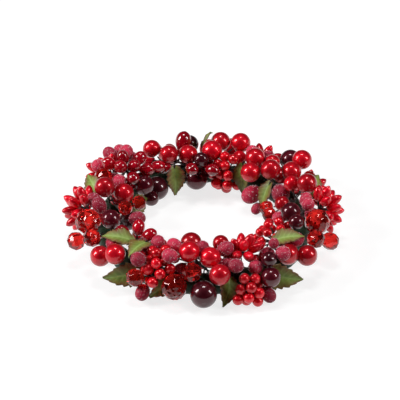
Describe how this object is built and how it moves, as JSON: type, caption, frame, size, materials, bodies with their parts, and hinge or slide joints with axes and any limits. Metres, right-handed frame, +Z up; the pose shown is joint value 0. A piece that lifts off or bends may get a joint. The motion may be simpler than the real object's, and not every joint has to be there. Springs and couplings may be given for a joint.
{
  "type": "berry wreath candle ring",
  "caption": "Ring wreath of artificial red berries, dark cherries, clear and frosted beads, pip sprays and leaves on wire stems, bound to a wire hoop with tape, open for a candle.",
  "frame": {"origin": "on the axis of the ring, at the height of the table that the tape-wound hoop stands on", "axes": "+Z up along the axis of the ring; -Y is the front with the large dark cherry; +X is the right of that view"},
  "size_m": [0.1673, 0.1667, 0.0376],
  "materials": {
    "hoop_cover": "dark green plastic cover over wire",
    "tape": "waxed dark green floral tape",
    "leaf": "dyed cloth leaf, green with brownish red toothed edge",
    "red_berry": "deep red lacquer, glossy",
    "cherry": "dark burgundy lacquer, glossy",
    "crystal": "clear red faceted acrylic",
    "frosted": "rose red with pale sugar grains",
    "drop": "translucent red",
    "pip": "bright red lacquer",
    "mini_berry": "bright red lacquer"
  },
  "bodies": {
    "ring": {"cherry_pick_back": "cherry", "cherry_pick_back_left": "cherry", "cherry_pick_front_right": "cherry", "cherry_pick_left": "cherry", "cherry_pick_right": "cherry", "crystal_pick_front": "crystal", "crystal_pick_left_inner": "crystal", "crystal_pick_right_inner": "crystal", "drop_pick_back": "drop", "drop_pick_back_left": "drop", "floral_tape": "tape", "frosted_pick_back_right": "frosted", "frosted_pick_front": "frosted", "frosted_pick_front_left": "frosted", "frosted_pick_front_right": "frosted", "frosted_pick_left": "frosted", "frosted_pick_left_back": "frosted", "frosted_pick_right": "frosted", "frosted_pick_right_front": "frosted", "hoop_wire": "hoop_cover", "leaf_back": "leaf", "leaf_back_left_inner": "leaf", "leaf_back_right_inner": "leaf", "leaf_front_left_low": "leaf", "leaf_front_right": "leaf", "leaf_front_right_low": "leaf", "leaf_left": "leaf", "leaf_left_front": "leaf", "leaf_left_middle": "leaf", "leaf_right": "leaf", "leaf_right_front": "leaf", "mini_berry_cluster_back": "mini_berry", "mini_berry_cluster_front_left": "mini_berry", "mini_berry_cluster_front_right": "mini_berry", "pip_spray_back_left": "pip", "pip_spray_back_outer": "pip", "pip_spray_front_right": "pip", "pip_spray_right_back": "pip", "red_berry_pick_back": "red_berry", "red_berry_pick_back_right": "red_berry", "red_berry_pick_front": "red_berry", "red_berry_pick_left": "red_berry", "red_berry_pick_left_front": "red_berry", "red_berry_pick_right": "red_berry", "red_berry_pick_right_back": "red_berry"},
    "leaf_front_left": {"leaf_front_left": "leaf"},
    "cherry_pick_front": {"cherry_pick_front": "cherry"},
    "crystal_pick_left": {"crystal_pick_left": "crystal"},
    "crystal_pick_right": {"crystal_pick_right": "crystal"},
    "drop_pick_left_inner": {"drop_pick_left_inner": "drop"},
    "cherry_pick_back_right": {"cherry_pick_back_right": "cherry"},
    "red_berry_pick_back_left": {"red_berry_pick_back_left": "red_berry"},
    "red_berry_pick_back_outer": {"red_berry_pick_back_outer": "red_berry"},
    "pip_spray_left": {"pip_spray_left": "pip"},
    "pip_spray_right": {"pip_spray_right": "pip"},
    "red_berry_pick_right_front": {"red_berry_pick_right_front": "red_berry"},
    "leaf_left_inner": {"leaf_left_inner": "leaf"},
    "mini_berry_cluster_right": {"mini_berry_cluster_right": "mini_berry"},
    "leaf_back_inner": {"leaf_back_inner": "leaf"},
    "mini_berry_cluster_front_inner": {"mini_berry_cluster_front_inner": "mini_berry"}
  },
  "joints": [
    {"name": "leaf_front_left_bend", "type": "hinge", "parent": "ring", "child": "leaf_front_left", "pos_m": [-0.0226, -0.05737, 0.00693], "axis": [0.9481, -0.3179, 0], "range_deg": [-6, 9]},
    {"name": "cherry_pick_front_bend", "type": "hinge", "parent": "ring", "child": "cherry_pick_front", "pos_m": [-0.00157, -0.05993, 0.00897], "axis": [0.9997, 0.0255, 0], "range_deg": [-4, 4]},
    {"name": "crystal_pick_left_bend", "type": "hinge", "parent": "ring", "child": "crystal_pick_left", "pos_m": [-0.05748, -0.01703, 0.00897], "axis": [0.3332, -0.9429, 0], "range_deg": [0, 15]},
    {"name": "crystal_pick_right_bend", "type": "hinge", "parent": "ring", "child": "crystal_pick_right", "pos_m": [0.05651, -0.02001, 0.00897], "axis": [0.2846, 0.9586, 0], "range_deg": [0, 15]},
    {"name": "drop_pick_left_inner_bend", "type": "hinge", "parent": "ring", "child": "drop_pick_left_inner", "pos_m": [-0.04305, -0.03425, 0.0081], "axis": [0.6621, -0.7494, 0], "range_deg": [-15, 0]},
    {"name": "cherry_pick_back_right_bend", "type": "hinge", "parent": "ring", "child": "cherry_pick_back_right", "pos_m": [0.03649, 0.04756, 0.00897], "axis": [-0.8238, 0.5669, 0], "range_deg": [-15, 20]},
    {"name": "red_berry_pick_back_left_bend", "type": "hinge", "parent": "ring", "child": "red_berry_pick_back_left", "pos_m": [-0.01819, 0.05436, 0.00944], "axis": [-0.9307, -0.3659, 0], "range_deg": [0, 12]},
    {"name": "red_berry_pick_back_outer_bend", "type": "hinge", "parent": "ring", "child": "red_berry_pick_back_outer", "pos_m": [0.00157, 0.05993, 0.00897], "axis": [-0.9997, -0.0255, 0], "range_deg": [0, 10]},
    {"name": "pip_spray_left_bend", "type": "hinge", "parent": "ring", "child": "pip_spray_left", "pos_m": [-0.06155, 0.00377, 0.00693], "axis": [-0.0094, -1, 0], "range_deg": [0, 15]},
    {"name": "pip_spray_right_bend", "type": "hinge", "parent": "ring", "child": "pip_spray_right", "pos_m": [0.06155, -0.00377, 0.00693], "axis": [0.0094, 1, 0], "range_deg": [0, 15]},
    {"name": "red_berry_pick_right_front_bend", "type": "hinge", "parent": "ring", "child": "red_berry_pick_right_front", "pos_m": [0.04756, -0.03649, 0.00897], "axis": [0.5669, 0.8238, 0], "range_deg": [0, 12]},
    {"name": "leaf_left_inner_bend", "type": "hinge", "parent": "ring", "child": "leaf_left_inner", "pos_m": [-0.05496, -0.0024, 0.0081], "axis": [0.0952, -0.9955, 0], "range_deg": [-15, 3]},
    {"name": "mini_berry_cluster_right_bend", "type": "hinge", "parent": "ring", "child": "mini_berry_cluster_right", "pos_m": [0.04587, -0.03036, 0.0081], "axis": [0.5081, 0.8613, 0], "range_deg": [-15, 0]},
    {"name": "leaf_back_inner_bend", "type": "hinge", "parent": "ring", "child": "leaf_back_inner", "pos_m": [0.03329, 0.04667, 0.00944], "axis": [-0.843, 0.5378, 0], "range_deg": [-15, 3]},
    {"name": "mini_berry_cluster_front_inner_bend", "type": "hinge", "parent": "ring", "child": "mini_berry_cluster_front_inner", "pos_m": [0.00424, -0.05393, 0.0056], "axis": [0.9915, 0.1299, 0], "range_deg": [-10, 3]}
  ]
}
